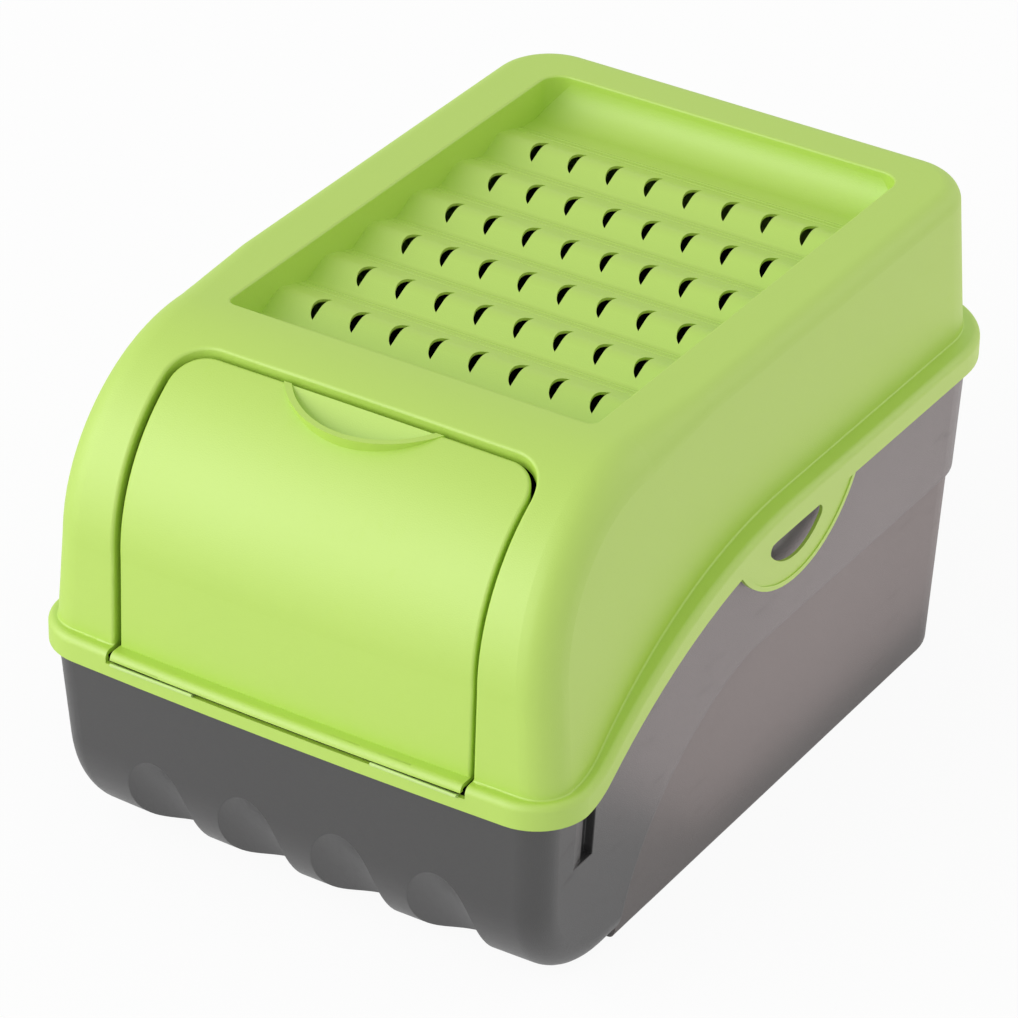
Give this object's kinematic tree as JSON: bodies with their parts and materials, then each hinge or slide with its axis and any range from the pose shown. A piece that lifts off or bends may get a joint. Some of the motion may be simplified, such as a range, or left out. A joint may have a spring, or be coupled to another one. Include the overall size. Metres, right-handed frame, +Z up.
{
  "type": "potato storage bin",
  "caption": "Ventilated plastic storage bin for potatoes and onions, with a lift-off hood, a hinged curved front flap and a sunk air-slot tray in the top",
  "frame": {"origin": "middle of the bounding box's footprint, on the surface the bin stands on", "axes": "+Z up, the front flap faces -Y, +X to the right seen from the front"},
  "size_m": [0.238, 0.3462, 0.211],
  "materials": {
    "tub_plastic": "satin, fine spark-eroded texture",
    "hood_plastic": "satin",
    "flap_plastic": "satin",
    "film_plastic": "stress-whitened satin"
  },
  "bodies": {
    "tub": {"base_tub": "tub_plastic"},
    "hood": {"hood": "hood_plastic", "film_hinge_left": "film_plastic", "film_hinge_right": "film_plastic"},
    "flap": {"front_flap": "flap_plastic"}
  },
  "joints": [
    {"name": "hood_lift", "type": "slide", "parent": "tub", "child": "hood", "axis": [0, 0, 1], "range_m": [0, 0.12]},
    {"name": "flap_hinge", "type": "hinge", "parent": "hood", "child": "flap", "pos_m": [0, -0.1726, 0.0945], "axis": [1, 0, 0], "range_deg": [0, 110]}
  ]
}
